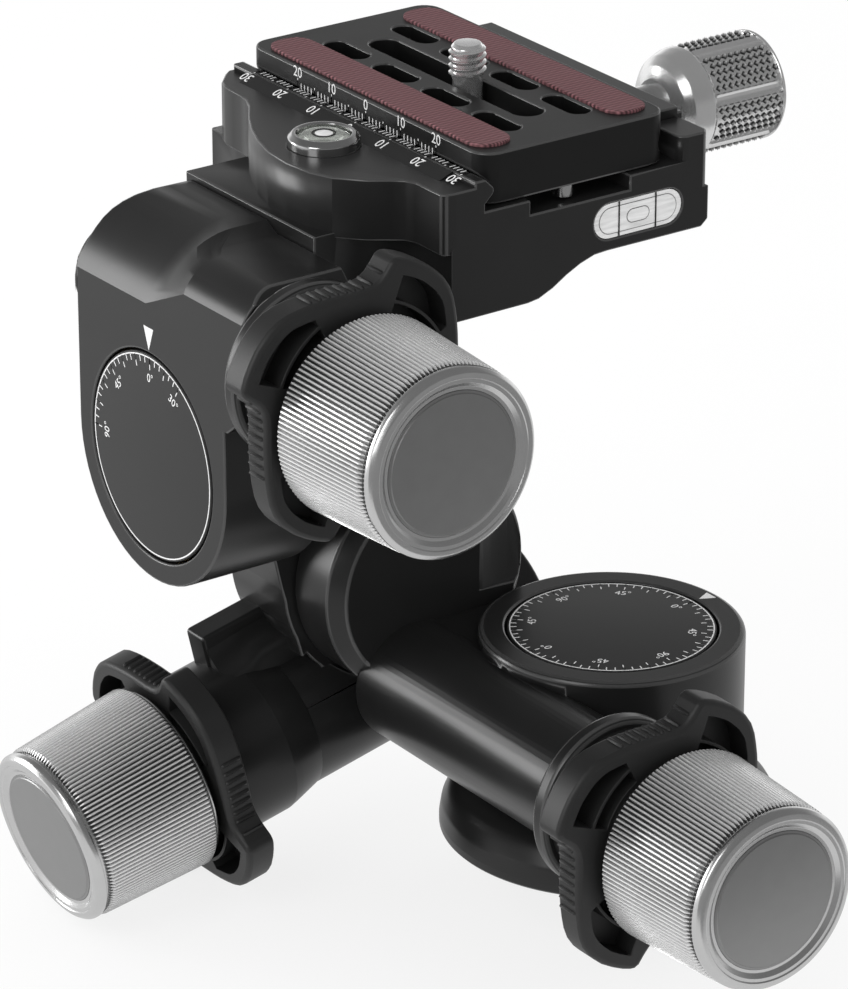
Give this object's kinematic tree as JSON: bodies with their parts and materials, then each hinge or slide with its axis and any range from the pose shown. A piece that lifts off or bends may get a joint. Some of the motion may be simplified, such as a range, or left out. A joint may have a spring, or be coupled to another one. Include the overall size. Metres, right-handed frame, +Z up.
{
  "type": "geared tripod head",
  "caption": "Geared camera head with worm drives for pan, tilt and roll, quick-release collars behind ribbed knobs, and a screw clamp holding a slotted camera plate.",
  "frame": {"origin": "centre of the foot's underside, on the pan axis, where the tripod screw enters", "axes": "+Z up along the pan axis; +Y along the camera plate's rulers, away from the pan knob; +X towards the clamp knob"},
  "size_m": [0.1402, 0.1417, 0.1518],
  "materials": {
    "black_metal": "black anodised, satin",
    "wheel_brass": "cut teeth, bright",
    "turned_steel": "turned, bright",
    "grey_aluminium": "turned, grey",
    "spring_steel": "drawn wire",
    "collar_plastic": "black, fine satin",
    "silver_aluminium": "ribbed and anodised silver",
    "silver_cap": "satin silver",
    "level_rim": "polished dark metal",
    "level_glass": "clear with a pale green fluid",
    "pad_rubber": "maroon with a woven grain"
  },
  "bodies": {
    "base": {"base_foot": "black_metal", "thread_bush": "turned_steel", "pan_spindle": "turned_steel", "pan_wheel": "wheel_brass", "pan_dial": "black_metal"},
    "pan_body": {"pan_housing": "black_metal", "pan_spring": "spring_steel", "tilt_spindle": "turned_steel", "tilt_wheel": "wheel_brass"},
    "pan_lever": {"pan_sleeve": "grey_aluminium", "pan_bushes": "wheel_brass", "pan_collar": "collar_plastic"},
    "pan_drive": {"pan_worm": "turned_steel", "pan_knob": "silver_aluminium", "pan_cap": "silver_cap"},
    "tilt_body": {"tilt_housing": "black_metal", "tilt_cover": "black_metal", "tilt_spring": "spring_steel", "roll_spindle": "turned_steel", "roll_wheel": "wheel_brass", "roll_dial": "black_metal"},
    "tilt_lever": {"tilt_sleeve": "grey_aluminium", "tilt_bushes": "wheel_brass", "tilt_collar": "collar_plastic"},
    "tilt_drive": {"tilt_worm": "turned_steel", "tilt_knob": "silver_aluminium", "tilt_knob_cap": "silver_cap"},
    "roll_body": {"roll_housing": "black_metal", "roll_spring": "spring_steel", "clamp_body": "black_metal", "clamp_bolts": "turned_steel", "round_level": "level_rim", "round_glass": "level_glass", "tube_level": "level_glass", "jaw_pins": "turned_steel", "jaw_springs": "spring_steel"},
    "roll_lever": {"roll_sleeve": "grey_aluminium", "roll_bushes": "wheel_brass", "roll_collar": "collar_plastic"},
    "roll_drive": {"roll_worm": "turned_steel", "roll_knob": "silver_aluminium", "roll_cap": "silver_cap"},
    "jaw_body": {"jaw": "black_metal"},
    "clamp_drive": {"clamp_screw": "turned_steel", "clamp_knob": "silver_aluminium"},
    "plate_body": {"camera_plate": "black_metal", "plate_pads": "pad_rubber", "stop_pins": "turned_steel"},
    "screw_body": {"camera_screw": "turned_steel"}
  },
  "joints": [
    {"name": "pan", "type": "hinge", "parent": "base", "child": "pan_body", "pos_m": [0, 0, 0.0227], "axis": [0, 0, 1], "continuous": true},
    {"name": "pan_release", "type": "hinge", "parent": "pan_body", "child": "pan_lever", "pos_m": [-0.02358, 0, 0.02386], "axis": [0, 1, 0], "range_deg": [0, 55], "stiffness_Nm_per_rad": 0.12, "springref_deg": -34.38},
    {"name": "pan_knob_turn", "type": "hinge", "parent": "pan_lever", "child": "pan_drive", "pos_m": [-0.0222, 0, 0.0227], "axis": [0, -1, 0], "continuous": true},
    {"name": "tilt", "type": "hinge", "parent": "pan_body", "child": "tilt_body", "pos_m": [-0.02, 0.0445, 0.0413], "axis": [0, 1, 0], "range_deg": [-30, 90]},
    {"name": "tilt_release", "type": "hinge", "parent": "tilt_body", "child": "tilt_lever", "pos_m": [-0.0147, 0.04566, 0.01833], "axis": [0.9744, 0, 0.225], "range_deg": [0, 55], "stiffness_Nm_per_rad": 0.12, "springref_deg": -34.38},
    {"name": "tilt_knob_turn", "type": "hinge", "parent": "tilt_lever", "child": "tilt_drive", "pos_m": [-0.01501, 0.0445, 0.01967], "axis": [-0.9744, 0, -0.225], "range_deg": [-1440, 4320]},
    {"name": "roll", "type": "hinge", "parent": "tilt_body", "child": "roll_body", "pos_m": [-0.0653, 0.028, 0.077], "axis": [-1, 0, 0], "range_deg": [-30, 90]},
    {"name": "roll_release", "type": "hinge", "parent": "roll_body", "child": "roll_lever", "pos_m": [-0.06414, 0.028, 0.10058], "axis": [0, 1, 0], "range_deg": [0, 55], "stiffness_Nm_per_rad": 0.12, "springref_deg": -34.38},
    {"name": "roll_knob_turn", "type": "hinge", "parent": "roll_lever", "child": "roll_drive", "pos_m": [-0.0653, 0.028, 0.0992], "axis": [0, -1, 0], "range_deg": [-4320, 1440]},
    {"name": "jaw_slide", "type": "slide", "parent": "roll_body", "child": "jaw_body", "axis": [1, 0, 0], "range_m": [0, 0.004]},
    {"name": "clamp_turn", "type": "hinge", "parent": "jaw_body", "child": "clamp_drive", "pos_m": [0, 0.028, 0.1165], "axis": [1, 0, 0], "range_deg": [0, 1152]},
    {"name": "plate_slide", "type": "slide", "parent": "roll_body", "child": "plate_body", "axis": [0, 1, 0], "range_m": [-0.02, 0.02]},
    {"name": "camera_screw_turn", "type": "hinge", "parent": "plate_body", "child": "screw_body", "pos_m": [-0.0131, 0.0245, 0.125], "axis": [0, 0, 1], "continuous": true}
  ],
  "couplings": [
    {"joint": "pan_knob_turn", "follows": "pan", "ratio": 48},
    {"joint": "tilt_knob_turn", "follows": "tilt", "ratio": 48},
    {"joint": "roll_knob_turn", "follows": "roll", "ratio": -48},
    {"joint": "clamp_turn", "follows": "jaw_slide", "rad_per_m": 5026.5}
  ]
}
